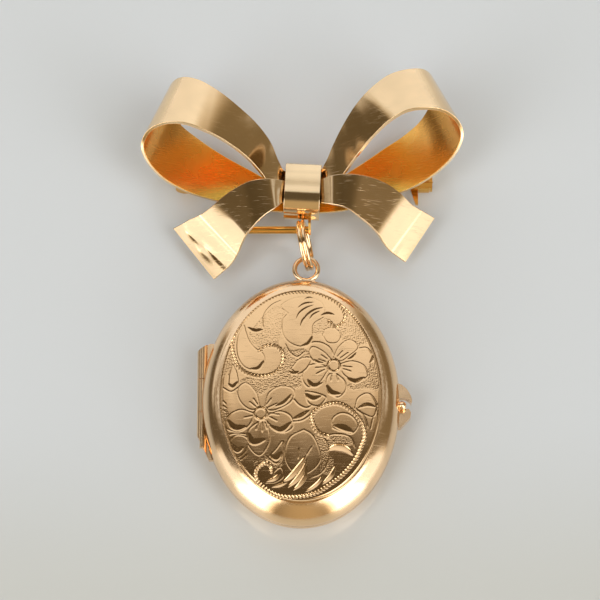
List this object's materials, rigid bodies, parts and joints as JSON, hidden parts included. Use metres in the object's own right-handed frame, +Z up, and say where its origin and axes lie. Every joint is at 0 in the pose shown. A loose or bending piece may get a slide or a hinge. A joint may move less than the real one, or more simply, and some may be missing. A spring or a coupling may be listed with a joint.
{
  "type": "pendant brooch with a locket",
  "caption": "Gold ribbon-bow brooch with a hinged, engraved oval locket hanging from it by a split ring.",
  "frame": {"origin": "middle of the locket's flat back, on the surface that the brooch lies on", "axes": "+Z up from the surface, towards the engraved front; +Y from the locket up to the bow; +X to the wearer's left, the right of the picture"},
  "size_m": [0.0359, 0.0519, 0.0125],
  "materials": {
    "yellow_gold": "polished",
    "rose_gold": "polished"
  },
  "bodies": {
    "brooch": {"loop_left": "yellow_gold", "loop_right": "yellow_gold", "tail_left": "yellow_gold", "tail_right": "yellow_gold", "knot_band": "yellow_gold", "hanger_wire": "yellow_gold", "link": "yellow_gold", "pin_joint": "yellow_gold", "pin_catch": "yellow_gold", "locket_back": "rose_gold", "locket_hinge_pin": "rose_gold"},
    "lid": {"locket_lid": "rose_gold"},
    "pin": {"pin_stem": "yellow_gold"},
    "lever": {"catch_lever": "yellow_gold"}
  },
  "joints": [
    {"name": "lid_hinge", "type": "hinge", "parent": "brooch", "child": "lid", "pos_m": [-0.01087, 0, 0.003], "axis": [0, -1, 0], "range_deg": [0, 165]},
    {"name": "pin_hinge", "type": "hinge", "parent": "brooch", "child": "pin", "pos_m": [-0.0129, 0.02685, 0.0012], "axis": [0, 1, 0], "range_deg": [0, 95]},
    {"name": "catch_turn", "type": "hinge", "parent": "brooch", "child": "lever", "pos_m": [0.01385, 0.02685, 0.0012], "axis": [1, 0, 0], "range_deg": [0, 110]}
  ]
}
